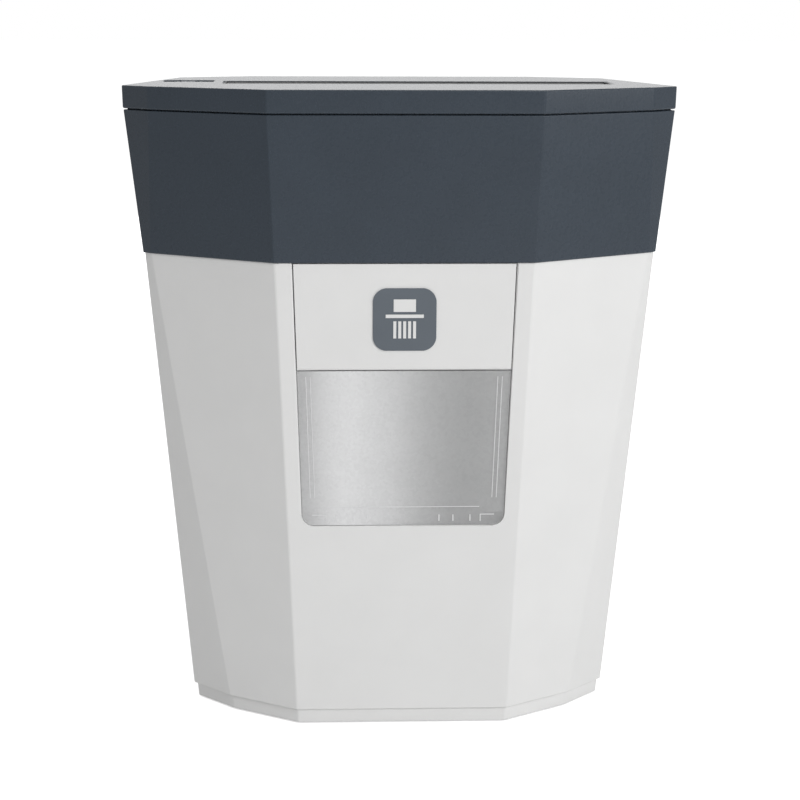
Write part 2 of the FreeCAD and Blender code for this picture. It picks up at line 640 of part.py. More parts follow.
def throat_insert():
    """Build the feed recess with its two paper guides, and the sensor lever's ears."""
    floor = "(height - recess_depth)"
    sides = (f"throat_x - recess_length / 2 + insert_gap", f"throat_x + recess_length / 2 - insert_gap")
    tray = box(sides, ("throat_y - recess_front + insert_gap", "throat_y + recess_back - insert_gap"),
               (f"{floor} - slot_wall", f"height - 0.3"))
    dish = prism("X", [
        ("throat_y - recess_front + slot_wall", "height + 1"),
        ("throat_y - recess_front + slot_wall", "height - 0.8"),
        ("throat_y - slot_width / 2 - 2", floor),
        ("throat_y + slot_width / 2 + 2", floor),
        ("throat_y + recess_back - slot_wall", "height - 0.8"),
        ("throat_y + recess_back - slot_wall", "height + 1"),
    ], f"{sides[0]} + slot_wall", f"{sides[1]} - slot_wall")
    low = f"({CUTTER_Z} + {DISC_RADIUS} + 4)"
    guides = box(("throat_x - throat_length / 2 - slot_wall", "throat_x + throat_length / 2 + slot_wall"),
                 ("throat_y - slot_width / 2 - slot_wall", "throat_y + slot_width / 2 + slot_wall"),
                 (low, f"{floor} - slot_wall / 2"))
    slot = box(("throat_x - throat_length / 2", "throat_x + throat_length / 2"),
               ("throat_y - slot_width / 2", "throat_y + slot_width / 2"), (f"{low} - 1", "height + 1"))
    notches = [box(tuple(sorted((f"throat_x + {side} * (throat_length / 2 - 1)",
                                 f"throat_x + {side} * (throat_length / 2 + notch_length)"), key=number)),
                   ("throat_y - slot_width / 2", "throat_y + slot_width / 2"), (f"{floor} - notch_depth", "height"))
               for side in ("-1", "1")]
    beds = [box(tuple(sorted((f"throat_x + {side} * (throat_length / 2)",
                              f"throat_x + {side} * (throat_length / 2 + notch_length + slot_wall)"), key=number)),
                ("throat_y - slot_width / 2 - slot_wall", "throat_y + slot_width / 2 + slot_wall"),
                (f"{floor} - notch_depth - slot_wall", f"{floor} - slot_wall / 2")) for side in ("-1", "1")]
    pin_y, pin_z = lever_point()
    ear_gap = "(lever_width / 2 + 0.4)"
    ears = [box((f"lever_x + {start}", f"lever_x + {end}"), ("throat_y + slot_width / 2", f"{pin_y} + 4"),
                (f"{pin_z} - 4", f"{floor} - slot_wall / 2"))
            for start, end in ((f"-{ear_gap} - 2.5", f"-{ear_gap}"), (ear_gap, f"{ear_gap} + 2.5"))]
    window = box((f"lever_x - {ear_gap}", f"lever_x + {ear_gap}"),
                 ("throat_y + slot_width / 2 - 1", "throat_y + slot_width / 2 + slot_wall + 1"),
                 (f"{low} - 1", f"{pin_z} + 4.5"))
    opposite = box((f"lever_x - {ear_gap}", f"lever_x + {ear_gap}"),
                   ("throat_y - slot_width / 2 - slot_wall - 1", "throat_y - slot_width / 2 + 1"),
                   (f"{low} - 1", f"{pin_z} + 4.5"))
    hole = rod("X", "lever_x - 8", "lever_x + 8", "lever_pin", pin_y, pin_z)
    node("throat_insert", cut(fuse(tray, guides, *beds, *ears), dish, slot, *notches, window, opposite, hole))
    pin_ends = (f"lever_x - {ear_gap} - 2.5", f"lever_x + {ear_gap} + 2.5")
    node("sensor_pin", rod("X", *pin_ends, "lever_pin", pin_y, pin_z))


def lever_point():
    """Return the sensor pin's place, front to back and up."""
    return "(throat_y + lever_setback)", f"({SPLIT} + lever_rise)"


def sensor_lever():
    """Build the paper sensor's lever, whose arm lies across the slot."""
    pin_y, pin_z = lever_point()
    sides = ("lever_x - lever_width / 2", "lever_x + lever_width / 2")
    hub = rod("X", *sides, "lever_pin + 1.6", pin_y, pin_z)
    arm = box(sides, ("throat_y - slot_width / 2 - slot_wall - 0.5", pin_y), (f"{pin_z} - 1", f"{pin_z} + 1"))
    tail = box(sides, (pin_y, f"{pin_y} + 11"), (f"{pin_z} - 2.6", f"{pin_z} - 0.8"))
    bore = rod("X", "lever_x - 8", "lever_x + 8", "lever_pin + running_gap", pin_y, pin_z)
    node("sensor_lever", cut(fuse(hub, arm, tail), bore))


def control_set():
    """Build the control bezel, its lenses, the switch knob and the switch under it."""
    face = "(height - 1.2)"
    under = f"({face} - bezel_thick)"
    sides = (f"{BEZEL_X} - bezel_length / 2 + insert_gap", f"{BEZEL_X} + bezel_length / 2 - insert_gap")
    ends = ("bezel_y - bezel_width / 2 + insert_gap", "bezel_y + bezel_width / 2 - insert_gap")
    knob_y = "(bezel_y - 5)"
    travel = "(knob_travel + stem_width / 2 + stem_gap)"
    slot = box((f"{BEZEL_X} - {travel}", f"{BEZEL_X} + {travel}"),
               (f"{knob_y} - stem_width / 2 - stem_gap", f"{knob_y} + stem_width / 2 + stem_gap"),
               (f"{under} - 1", f"{face} + 1"))
    lens_y = "(bezel_y + 10)"
    spots = (f"{BEZEL_X} - 8", f"{BEZEL_X}", f"{BEZEL_X} + 8")
    holes = [rod("Z", f"{under} - 1", f"{face} + 1", "lens_radius", x, lens_y) for x in spots]
    flange = box((f"{sides[0]} - bezel_lip", f"{sides[1]} + bezel_lip"),
                 (f"{ends[0]} - bezel_lip", f"{ends[1]} + bezel_lip"),
                 (f"height - cover_wall - 1.5", "height - cover_wall"))
    plate = box(sides, ends, (f"height - cover_wall - 1.5", face))
    well = box((f"{sides[0]} + 3", f"{sides[1]} - 3"), (f"{ends[0]} + 3", f"{ends[1]} - 3"),
               ("height - cover_wall - 2.5", under))
    node("control_bezel", cut(fuse(plate, flange), well, slot, *holes))
    node("indicator_lenses", group(rod("Z", under, f"{face} + 0.4", "lens_radius", x, lens_y) for x in spots))
    knob = box((f"{BEZEL_X} - knob_length / 2", f"{BEZEL_X} + knob_length / 2"),
               (f"{knob_y} - knob_width / 2", f"{knob_y} + knob_width / 2"),
               (f"{face} + 0.2", f"{face} + knob_height"))
    stem = box((f"{BEZEL_X} - stem_width / 2", f"{BEZEL_X} + stem_width / 2"),
               (f"{knob_y} - stem_width / 2", f"{knob_y} + stem_width / 2"), (f"{under} - 3", f"{face} + 0.4"))
    node("switch_knob", fuse(knob, stem))
    case_top = f"({under} - 1)"
    case = box((f"{BEZEL_X} - 12", f"{BEZEL_X} + 12"), (f"{knob_y} - 6", f"{knob_y} + 6"),
               (f"{under} - 13", case_top))
    track = box((f"{BEZEL_X} - {travel}", f"{BEZEL_X} + {travel}"),
                (f"{knob_y} - stem_width / 2 - stem_gap", f"{knob_y} + stem_width / 2 + stem_gap"),
                (f"{under} - 4", f"{case_top} + 1"))
    plate = box((f"{BEZEL_X} - bezel_length / 2 + 4", f"{BEZEL_X} + bezel_length / 2 - 4"),
                ("bezel_y - bezel_width / 2 + 4", "bezel_y + bezel_width / 2 - 4"),
                (f"{under} - 14.6", f"{under} - 13"))
    stalks = [rod("Z", f"{under} - 13", under, "lens_radius - 0.4", x, lens_y) for x in spots]
    node("switch_case", cut(case, track))
    node("indicator_board", fuse(plate, *stalks))


def cord_gland():
    """Build the gland in the back of the head, where the cord would come out."""
    level = f"({SPLIT} + gland_rise)"
    back = distance("back", "head", level)
    sleeve = ring("Y", f"{back} - gland_length", f"{back} - 0.6", "gland_radius", "gland_bore", "gland_x", level)
    wall = f"({back} - head_wall - 1.2)"
    collar = ring("Y", f"{wall} - 3", wall, "gland_radius + 2.5", "gland_radius", "gland_x", level)
    node("cord_gland", fuse(sleeve, collar))


# ---------------------------------------------------------------- cutter block

def roll(axis_y, first_disc, left_end):
    """Return a one-piece cutter roll: hub, journals and notched discs."""
    reach = 0.5
    hub = rod("X", f"{LEFT_FACE} + {reach}", f"{RIGHT_FACE} - {reach}", HUB_RADIUS, axis_y, CUTTER_Z)
    journal = rod("X", left_end, f"{RIGHT_FACE} + frame_thick + gear_space + gear_width + 1",
                  "journal_radius", axis_y, CUTTER_Z)
    doc.recompute()
    radius = number(DISC_RADIUS)
    disc = Part.makeCylinder(radius, number("disc_thick"), Vector(), Vector(1, 0, 0))
    notches = [Part.makeCylinder(number("notch_radius"), number("disc_thick"),
                                 Vector(0, radius * math.cos(turn), radius * math.sin(turn)), Vector(1, 0, 0))
               for turn in (math.radians(60 * step) for step in range(6))]
    disc = disc.cut(notches)
    blades = []
    stagger = 11
    for index in range(int(number(DISCS))):
        blade = disc.copy()
        blade.rotate(Vector(), Vector(1, 0, 0), stagger * index)
        blade.translate(Vector(index * number("disc_pitch"), 0, 0))
        blades.append(blade)
    stack = code_shape("discs", Part.makeCompound(blades))
    place(stack, first_disc, axis_y, CUTTER_Z)
    return fuse(hub, journal, stack)


def comb(axis_y, side, first_gap):
    """Return a stripper comb whose fingers fill the gaps between one roll's discs."""
    sign = "-" if side == "front" else "+"
    near = f"({axis_y} {sign} ({DISC_RADIUS} + comb_gap))"
    far = f"({axis_y} {sign} ({DISC_RADIUS} + comb_gap + comb_spine))"
    tip = f"({axis_y} {sign} 3)"
    levels = (f"{CUTTER_Z} - comb_half_height", f"{CUTTER_Z} + comb_half_height")
    spine = box((LEFT_FACE, RIGHT_FACE), tuple(sorted((near, far), key=number)), levels)
    body = new_body()
    root = f"({axis_y} {sign} ({DISC_RADIUS} + comb_gap + comb_spine / 2))"
    corners = [(y, z) for y, z in ((tip, levels[0]), (root, levels[0]), (root, levels[1]), (tip, levels[1]))]
    sketch = polygon(body, "X", corners, first_gap)
    pad = body.newObject("PartDesign::Pad", "finger")
    pad.Profile = sketch
    bind(pad, Length="finger_thick")
    fingers = [body]
    for index in range(1, int(number(DISCS)) - 1):
        copy = doc.addObject("Part::Feature", "finger_copy")
        fingers.append(copy)
    doc.recompute()
    for index, copy in enumerate(fingers[1:], start=1):
        copy.Shape = body.Shape
        place(copy, f"{index} * disc_pitch")
    clear = rod("X", f"{LEFT_FACE} - 1", f"{RIGHT_FACE} + 1", f"{HUB_RADIUS} + comb_gap", axis_y, CUTTER_Z)
    return cut(fuse(spine, *fingers), clear)


def lug_points():
    """Return the screws that hold the side frames' lugs to the floor."""
    lug = "7"
    left = f"{LEFT_FACE} + {lug}"
    right = f"{RIGHT_FACE} - {lug}"
    front = f"{FRONT_ROD} - 1"
    return [(left, front), (left, f"{left_frame_back()} - 8"), (right, front), (right, f"{REAR_ROD} + 1")]


def left_frame_back():
    """Return the rear edge of the left side frame, which also carries the motor."""
    return f"({motor_axis()[0]} + motor_radius + 1.5)"


def side_frame(low, high, back, lug_side):
    """Return one steel side plate with its floor lugs, before its holes."""
    top = f"{CUTTER_Z} + rod_spread + frame_margin"
    plate = box((low, high), (f"{FRONT_ROD} - frame_margin", back), (DECK, top))
    inner = high if lug_side > 0 else low
    lugs = []
    for x, y in lug_points():
        if (number(x) > number("throat_x")) != (lug_side > 0):
            reach = sorted((inner, x), key=number)
            edge = (reach[0], f"{reach[1]} + 6") if lug_side > 0 else (f"{reach[0]} - 6", reach[1])
            lugs.append(box(edge, (f"{y} - 6", f"{y} + 6"), (DECK, f"{DECK} + 3")))
    return fuse(plate, *lugs)


def cutter_block():
    """Build the cutters, their gears, the frames, the combs and what joins them."""
    node("front_cutter", roll(FRONT_AXIS, FIRST_DISC, f"{GEAR_SIDE} - bush_flange"))
    node("rear_cutter", roll(REAR_AXIS, f"{FIRST_DISC} + disc_pitch / 2", f"{GEAR_SIDE} - gear_space - gear_width"))
    gap_start = f"({FIRST_DISC} + disc_thick + (disc_pitch - disc_thick - finger_thick) / 2)"
    node("front_comb", comb(FRONT_AXIS, "front", gap_start))
    node("rear_comb", comb(REAR_AXIS, "rear", f"{gap_start} + disc_pitch / 2"))
    bore = "(journal_radius + running_gap)"
    holes = [rod("X", f"{GEAR_SIDE} - 1", f"{RIGHT_FACE} + frame_thick + 1", BUSH, y, CUTTER_Z)
             for y in (FRONT_AXIS, REAR_AXIS)]
    rods = [(y, f"({CUTTER_Z} {sign} rod_spread)") for y in (FRONT_ROD, REAR_ROD) for sign in "-+"]
    bolt_holes = [rod("X", f"{GEAR_SIDE} - 1", f"{RIGHT_FACE} + frame_thick + 1", "bolt_radius", y, z)
                  for y, z in rods]
    lug_holes = [rod("Z", f"{DECK} - 1", f"{DECK} + 4", "case_shank", x, y) for x, y in lug_points()]
    pins = [rod("X", f"{GEAR_SIDE} - 1", f"{LEFT_FACE} + 1", "pin_radius", y, z)
            for y, z in (second_axis(), first_axis())]
    motor_hole = rod("X", f"{GEAR_SIDE} - 1", f"{LEFT_FACE} + 1", "motor_shaft + 3", *motor_axis())
    left = side_frame(GEAR_SIDE, LEFT_FACE, left_frame_back(), 1)
    right = side_frame(RIGHT_FACE, f"{RIGHT_FACE} + frame_thick", f"{REAR_ROD} + frame_margin", -1)
    node("left_frame", cut(left, *holes, *bolt_holes, *lug_holes, *pins, motor_hole))
    node("right_frame", cut(right, *holes, *bolt_holes, *lug_holes))
    bars = [rod("X", LEFT_FACE, RIGHT_FACE, "rod_radius", y, z) for y, z in rods]
    tapped_ends = ((LEFT_FACE, f"{LEFT_FACE} + bolt_depth"), (f"{RIGHT_FACE} - bolt_depth", RIGHT_FACE))
    tapped = [rod("X", start, end, "bolt_radius", y, z) for y, z in rods for start, end in tapped_ends]
    node("tie_rods", cut(group(bars), *tapped))
    left_bolts = [fuse(rod("X", GEAR_SIDE, f"{LEFT_FACE} + bolt_depth", "bolt_radius", y, z),
                       rod("X", f"{GEAR_SIDE} - bolt_cap_thick", GEAR_SIDE, "frame_cap", y, z)) for y, z in rods]
    face = f"{RIGHT_FACE} + frame_thick"
    right_bolts = [fuse(rod("X", f"{RIGHT_FACE} - bolt_depth", face, "bolt_radius", y, z),
                        rod("X", face, f"{face} + bolt_cap_thick", "frame_cap", y, z)) for y, z in rods]
    node("frame_bolts", group(left_bolts + right_bolts))
    node("lug_screws", group(screw(x, y, f"{DECK} + 3", SPLIT, "case_shank", "frame_cap", "case_cap_thick")
                             for x, y in lug_points()))
    bushes = []
    for y in (FRONT_AXIS, REAR_AXIS):
        tube = ring("X", GEAR_SIDE, LEFT_FACE, BUSH, bore, y, CUTTER_Z)
        rim = ring("X", f"{GEAR_SIDE} - bush_flange", GEAR_SIDE, BUSH_RIM, bore, y, CUTTER_Z)
        bushes.append(fuse(tube, rim))
        tube = ring("X", RIGHT_FACE, face, BUSH, bore, y, CUTTER_Z)
        rim = ring("X", face, f"{face} + bush_flange", BUSH_RIM, bore, y, CUTTER_Z)
        bushes.append(fuse(tube, rim))
    node("cutter_bushes", group(bushes))


# ---------------------------------------------------------------- gears and motor

def second_axis():
    """Return the second gear's axis, front to back and up."""
    reach = "(module_slow * (output_teeth + second_pinion_teeth) / 2)"
    return f"({REAR_AXIS} + {reach} * cos(second_direction))", f"({CUTTER_Z} + {reach} * sin(second_direction))"


def first_axis():
    """Return the first gear's axis."""
    y, z = second_axis()
    reach = "(module_middle * (second_teeth + first_pinion_teeth) / 2)"
    return f"({y} + {reach} * cos(first_direction))", f"({z} + {reach} * sin(first_direction))"


def motor_axis():
    """Return the motor's axis."""
    y, z = first_axis()
    reach = "(module_fast * (first_teeth + motor_teeth) / 2)"
    return f"({y} + {reach} * cos(motor_direction))", f"({z} + {reach} * sin(motor_direction))"


def gear_shape(teeth, module, width, bore, tooth_at):
    """Return an involute gear along +X, with one tooth centred on an angle from +Y towards +Z."""
    pressure = math.radians(20)
    pitch = module * teeth / 2
    base = pitch * math.cos(pressure)
    tip = pitch + module
    root = pitch - 1.25 * module
    play = number("backlash") / 2 / pitch
    half = math.pi / 2 / teeth + math.tan(pressure) - pressure - play / 2
    steps = 5
    start = max(root, base)
    flank = []
    for step in range(steps + 1):
        radius = start + (tip - start) * step / steps
        roll_angle = math.acos(base / radius)
        flank.append((radius, half - (math.tan(roll_angle) - roll_angle)))
    if root < base:
        flank.insert(0, (root, flank[0][1]))
    points = []
    for index in range(teeth):
        middle = math.radians(tooth_at) + 2 * math.pi * index / teeth
        rising = [(radius, middle - angle) for radius, angle in flank]
        falling = [(radius, middle + angle) for radius, angle in reversed(flank)]
        points += [Vector(0, radius * math.cos(angle), radius * math.sin(angle)) for radius, angle in rising + falling]
    blank = Part.Face(Part.makePolygon(points + points[:1])).extrude(Vector(width, 0, 0))
    return blank.cut(Part.makeCylinder(bore, width, Vector(), Vector(1, 0, 0)))


def wheel(teeth, module, width, bore, tooth_at, x, axis):
    """Return a gear as an object on its axis."""
    shape = gear_shape(int(number(teeth)), number(module), number(width), number(bore), tooth_at)
    return place(code_shape("wheel", shape), x, *axis)


def gap_at(direction, teeth):
    """Return the tooth angle that turns a gap towards a direction."""
    return direction + 180 / number(teeth)


def gear_train():
    """Build the gears from the motor's pinion to the two cutters, their pins and the gear case."""
    slow = f"({GEAR_SIDE} - gear_space - gear_width)"
    middle = f"({slow} - gear_space - thin_gear_width)"
    fast = f"({middle} - gear_space - thin_gear_width)"
    bore = "pin_radius + running_gap"
    rear = (REAR_AXIS, CUTTER_Z)
    second = number("second_direction")
    first = number("first_direction")
    motor = number("motor_direction")
    node("output_gear", wheel("output_teeth", "module_slow", "gear_width", "journal_radius", second, slow, rear))
    small = wheel("second_pinion_teeth", "module_slow", "gear_width + gear_space", bore,
                  gap_at(second + 180, "second_pinion_teeth"), f"{slow} - gear_space", second_axis())
    large = wheel("second_teeth", "module_middle", "thin_gear_width", bore, first, middle, second_axis())
    node("second_gear", fuse(small, large))
    small = wheel("first_pinion_teeth", "module_middle", "thin_gear_width + gear_space", bore,
                  gap_at(first + 180, "first_pinion_teeth"), f"{middle} - gear_space", first_axis())
    large = wheel("first_teeth", "module_fast", "thin_gear_width", bore, motor, fast, first_axis())
    node("first_gear", fuse(small, large))
    node("motor_pinion", wheel("motor_teeth", "module_fast", "thin_gear_width", "motor_shaft",
                               gap_at(motor + 180, "motor_teeth"), fast, motor_axis()))
    sync = f"({RIGHT_FACE} + frame_thick + gear_space)"
    front = (FRONT_AXIS, CUTTER_Z)
    node("front_cutter_gear", wheel("sync_teeth", "module_slow", "gear_width", "journal_radius", 0, sync, front))
    node("rear_cutter_gear", wheel("sync_teeth", "module_slow", "gear_width", "journal_radius",
                                   gap_at(180, "sync_teeth"), sync, rear))
    far = f"({fast} - gear_space)"
    pins = [rod("X", f"{far} - box_wall / 2", LEFT_FACE, "pin_radius", y, z)
            for y, z in (second_axis(), first_axis())]
    node("gear_pins", group(pins))
    first_z = first_axis()[1]
    second_z = second_axis()[1]
    sides = (f"{FRONT_AXIS} - {BUSH_RIM} - box_gap",
             f"{motor_axis()[0]} + module_fast * (motor_teeth / 2 + 1) + box_gap")
    levels = (f"{first_z} - module_fast * (first_teeth / 2 + 1) - box_gap",
              f"{second_z} + module_middle * (second_teeth / 2 + 1) + box_gap")
    case = box((f"{far} - box_wall", GEAR_SIDE), (f"{sides[0]} - box_wall", f"{sides[1]} + box_wall"),
               (f"{levels[0]} - box_wall", f"{levels[1]} + box_wall"))
    hollow = box((far, f"{GEAR_SIDE} + 1"), sides, levels)
    seats = [rod("X", f"{far} - box_wall / 2", f"{far} + 1", "pin_radius", y, z)
             for y, z in (second_axis(), first_axis())]
    node("gear_case", cut(case, hollow, *seats))


def motor():
    """Build the motor: can, magnets, end cap, rotor and cooling fan."""
    y, z = motor_axis()
    start = LEFT_FACE
    end = f"({LEFT_FACE} + motor_length)"
    inner = "motor_radius - motor_wall"
    can = cut(rod("X", start, end, "motor_radius", y, z),
              rod("X", f"{start} + motor_wall", f"{end} + 1", inner, y, z),
              rod("X", f"{start} - 1", f"{start} + motor_wall + 1", "motor_shaft + running_gap", y, z))
    node("motor_can", can)
    tube = ring("X", f"{start} + 8", f"{end} - 14", inner, f"{inner} - magnet_thick", y, z)
    split = [box((start, end), (f"{y} - motor_radius", f"{y} + motor_radius"), (f"{z} - 6", f"{z} + 6"))]
    node("motor_magnets", cut(tube, *split))
    cap = fuse(rod("X", end, f"{end} + end_cap / 2", "motor_radius", y, z),
               rod("X", f"{end} - 3", end, inner, y, z),
               rod("X", end, f"{end} + end_cap", "8", y, z))
    vents = [rod("X", f"{end} - 4", f"{end} + end_cap", "2.5", f"{y} + 15 * cos({turn})", f"{z} + 15 * sin({turn})")
             for turn in range(30, 360, 60)]
    bore = rod("X", f"{end} - 4", f"{end} + end_cap + 1", "motor_shaft + running_gap", y, z)
    node("motor_end_cap", cut(cap, bore, *vents))
    far = f"({GEAR_SIDE} - 3 * gear_space - gear_width - 2 * thin_gear_width)"
    shaft = rod("X", far, f"{end} + end_cap + fan_width + 4", "motor_shaft", y, z)
    armature = rod("X", f"{start} + 10", f"{end} - 16", f"{inner} - magnet_thick - air_gap", y, z)
    slots = [box((f"{start} + 9", f"{end} - 15"), (f"{y} - 1.2", f"{y} + 1.2"), (f"{z} + 11", f"{z} + 30"))]
    commutator = rod("X", f"{end} - 16", f"{end} - 6", "9", y, z)
    node("motor_rotor", fuse(shaft, cut(armature, *slots), commutator))
    fan_start = f"({end} + end_cap + 2)"
    hub = ring("X", fan_start, f"{fan_start} + fan_width", "6", "motor_shaft", y, z)
    blade = Part.makeBox(number("fan_width"), number("fan_radius") - 5, 1.4, Vector(0, 5, -0.7))
    blade.rotate(Vector(number("fan_width") / 2, 5, 0), Vector(0, 1, 0), 28)
    blades = []
    for index in range(int(number("fan_blades"))):
        turned = blade.copy()
        turned.rotate(Vector(), Vector(1, 0, 0), 360 / number("fan_blades") * index)
        blades.append(turned)
    shroud = number("fan_radius")
    vanes = Part.makeCompound(blades).common(Part.makeCylinder(shroud, number("fan_width"), Vector(), Vector(1, 0, 0)))
    node("cooling_fan", fuse(hub, place(code_shape("vanes", vanes), fan_start, y, z)))


# ---------------------------------------------------------------- electrics

def board_corners():
    """Return the control board's four fixing points."""
    near = "(-depth / 2 + board_setback + 5)"
    far = "(-depth / 2 + board_setback + board_width - 5)"
    return four("board_length / 2 - 5", near, None, far)


def control_board():
    """Build the control board with its relays, capacitor, terminal block and screws."""
    low = f"({DECK} + board_rise)"
    high = f"({low} + board_thick)"
    front = "(-depth / 2 + board_setback)"
    plate = box(("-board_length / 2", "board_length / 2"), (front, f"{front} + board_width"), (low, high))
    holes = [rod("Z", f"{low} - 1", f"{high} + 1", "board_shank", x, y) for x, y in board_corners()]
    node("control_board", cut(plate, *holes))
    node("board_relays", group(box((f"{x} - 9", f"{x} + 9"), (f"{front} + 14", f"{front} + 30"), (high, f"{high} + 15"))
                               for x in ("-26", "-4")))
    node("start_capacitor", rod("X", "12", "44", "8", f"{front} + 36", f"{high} + 8"))
    terminal = box(("14", "44"), (f"{front} + 6", f"{front} + 18"), (high, f"{high} + 11"))
    entries = [box((f"{x}", f"{x} + 5"), (f"{front} + 5", f"{front} + 12"), (f"{high} + 2", f"{high} + 7"))
               for x in ("16", "23", "30", "37")]
    node("terminal_block", cut(terminal, *entries))
    node("board_screws", group(screw(x, y, high, f"{DECK} + 1", "board_shank", "board_cap", "board_cap_thick")
                               for x, y in board_corners()))


def plunger_point():
    """Return the safety plunger's place in plan."""
    return "plunger_x", "(depth / 2 - plunger_setback)"


def safety_switch():
    """Build the safety switch and the plunger that the bin's tab holds up."""
    x, y = plunger_point()
    tip = f"({SPLIT} - plunger_drop)"
    head = f"({DECK} + 9)"
    stem = rod("Z", tip, head, "plunger_radius", x, y)
    node("safety_plunger", stem)
    case = box((f"{x} - 9", f"{x} + 9"), (f"{y} - 6", f"{y} + 6"), (DECK, f"{head} + plunger_travel + 4"))
    well = rod("Z", f"{DECK} - 1", f"{head} + plunger_travel + 0.5", "plunger_radius + running_gap", x, y)
    node("safety_switch", cut(case, well))


def main():
    """Build every sub-part, check it and write it to its own file."""
    bin_body()
    base_tray()
    window_panel()
    front_panel()
    head_shell()
    top_cover()
    throat_insert()
    sensor_lever()
    control_set()
    cord_gland()
    cutter_block()
    gear_train()
    motor()
    control_board()
    safety_switch()
    doc.recompute()
    for item in doc.Objects:
        if "Invalid" in item.State or "Error" in item.State:
            raise RuntimeError(f"{item.Name} ({item.Label}) failed to build")
    for item in nodes:
        if item.Shape.isNull() or not item.Shape.isValid():
            raise RuntimeError(f"{item.Label} has no valid shape")
    os.makedirs("parts", exist_ok=True)
    for item in nodes:
        item.Shape.exportStep(f"parts/{item.Label}.step")
        size = item.Shape.BoundBox
        print(f"{item.Label}: {len(item.Shape.Solids)} solid, volume {item.Shape.Volume:.0f}, "
              f"x {size.XMin:.1f}..{size.XMax:.1f}, y {size.YMin:.1f}..{size.YMax:.1f}, z {size.ZMin:.1f}..{size.ZMax:.1f}")


main()
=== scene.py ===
"""A paper shredder: a slate head with a cross-cut cutter, standing on a white bin with a window.

Every length is in metres. The front faces -Y and the floor is at z = 0.
"""

import json
import logging
import math
from abc import ABC, abstractmethod
from collections import defaultdict
from dataclasses import dataclass, field
from enum import Enum

import bpy
from mathutils import Matrix, Vector

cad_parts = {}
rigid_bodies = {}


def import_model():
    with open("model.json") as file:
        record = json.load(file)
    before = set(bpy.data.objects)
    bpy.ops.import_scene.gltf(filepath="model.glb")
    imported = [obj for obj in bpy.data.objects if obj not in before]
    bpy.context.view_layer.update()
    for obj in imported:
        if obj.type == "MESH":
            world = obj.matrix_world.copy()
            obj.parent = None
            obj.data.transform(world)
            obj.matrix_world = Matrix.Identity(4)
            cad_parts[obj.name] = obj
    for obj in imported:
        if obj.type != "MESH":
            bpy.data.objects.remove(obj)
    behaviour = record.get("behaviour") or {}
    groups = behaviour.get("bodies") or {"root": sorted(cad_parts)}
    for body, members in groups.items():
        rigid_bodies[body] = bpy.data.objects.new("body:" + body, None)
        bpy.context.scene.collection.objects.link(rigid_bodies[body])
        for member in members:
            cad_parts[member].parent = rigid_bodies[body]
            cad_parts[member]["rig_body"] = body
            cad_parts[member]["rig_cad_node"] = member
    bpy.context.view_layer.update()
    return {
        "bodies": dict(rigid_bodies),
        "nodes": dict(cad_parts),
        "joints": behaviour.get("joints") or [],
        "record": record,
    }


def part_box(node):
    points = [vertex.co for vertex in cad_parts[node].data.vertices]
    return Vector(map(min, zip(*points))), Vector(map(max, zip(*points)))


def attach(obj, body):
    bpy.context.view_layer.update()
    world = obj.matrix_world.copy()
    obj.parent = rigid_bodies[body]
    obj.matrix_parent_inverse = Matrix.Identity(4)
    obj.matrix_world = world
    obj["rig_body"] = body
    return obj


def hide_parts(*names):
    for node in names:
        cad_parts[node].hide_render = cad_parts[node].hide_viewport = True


LOG = logging.getLogger("shredder")
MM = 0.001
Colour = tuple[float, float, float]
Stops = tuple[tuple[float, float], ...]
NOISE_LOW = 0.3
NOISE_HIGH = 0.7


class Body(str, Enum):
    """The bodies that the shown pieces ride on."""

    BIN = "bin"
    HEAD = "head"
    KNOB = "switch_knob"


class Slot(str, Enum):
    """The record's material slots."""

    WHITE = "white_plastic"
    SLATE = "slate_plastic"
    BLACK = "black_plastic"
    GREY = "grey_plastic"
    CREAM = "cream_plastic"
    CLEAR = "clear_plastic"
    LENS = "lens_plastic"
    RUBBER = "rubber"
    CUTTER = "cutter_steel"
    PLATED = "plated_steel"
    SCREW = "screw_steel"
    BRONZE = "bronze"
    MAGNET = "magnet"
    BOARD = "board_green"
    RELAY = "relay_blue"
    CAPACITOR = "capacitor_sleeve"


